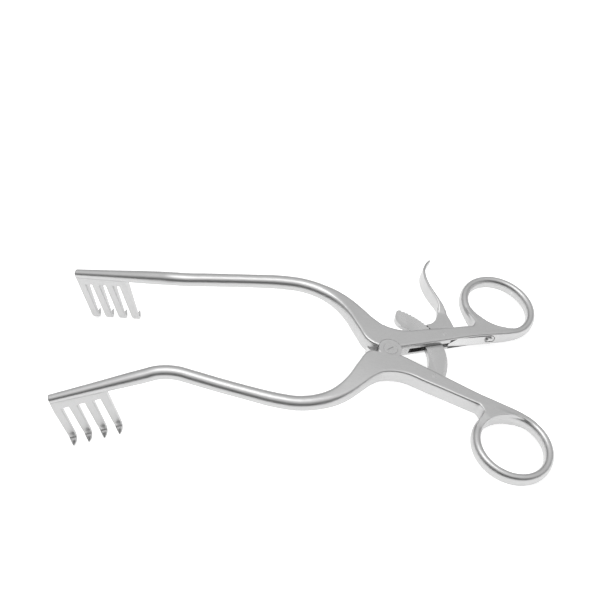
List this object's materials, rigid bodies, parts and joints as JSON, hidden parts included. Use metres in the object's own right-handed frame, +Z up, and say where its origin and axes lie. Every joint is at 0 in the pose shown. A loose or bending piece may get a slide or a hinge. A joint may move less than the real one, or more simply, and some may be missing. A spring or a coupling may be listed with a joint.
{
  "type": "self-retaining retractor",
  "caption": "Self-retaining surgical retractor with ring handles, a screwed lap joint, bowed arms bent down to sharp hooked combs, and an arc ratchet with a sprung thumb release.",
  "frame": {"origin": "centre of the bounding box's bottom, on the table that the undersides of both finger rings and the lowest prongs stand on", "axes": "+X from the combs toward the finger rings, +Y toward the far half, the upper one in the picture, +Z up from the table"},
  "size_m": [0.2016, 0.1158, 0.0372],
  "materials": {
    "satin_steel": "satin ground stainless steel",
    "screw_steel": "finely turned stainless steel",
    "spring_steel": "hardened stainless strip, smooth"
  },
  "bodies": {
    "far_half": {"far_half": "satin_steel", "far_blade": "satin_steel", "pivot_screw": "screw_steel", "lever_pin": "screw_steel", "leaf_spring": "spring_steel", "spring_screw": "screw_steel"},
    "near_half": {"near_half": "satin_steel", "near_blade": "satin_steel", "ratchet_rack": "satin_steel", "rack_rivet": "screw_steel"},
    "release_lever": {"release_lever": "satin_steel"}
  },
  "joints": [
    {"name": "spread", "type": "hinge", "parent": "far_half", "child": "near_half", "pos_m": [0.03408, -0.00257, 0.01816], "axis": [0.2304, 0, 0.9731], "range_deg": [-27, 31]},
    {"name": "release", "type": "hinge", "parent": "far_half", "child": "release_lever", "pos_m": [0.05781, 0.011, 0.01254], "axis": [0.2304, 0, 0.9731], "range_deg": [-10, 0], "stiffness_Nm_per_rad": 0.1, "springref_deg": 8.59, "deforming": ["leaf_spring"]}
  ]
}
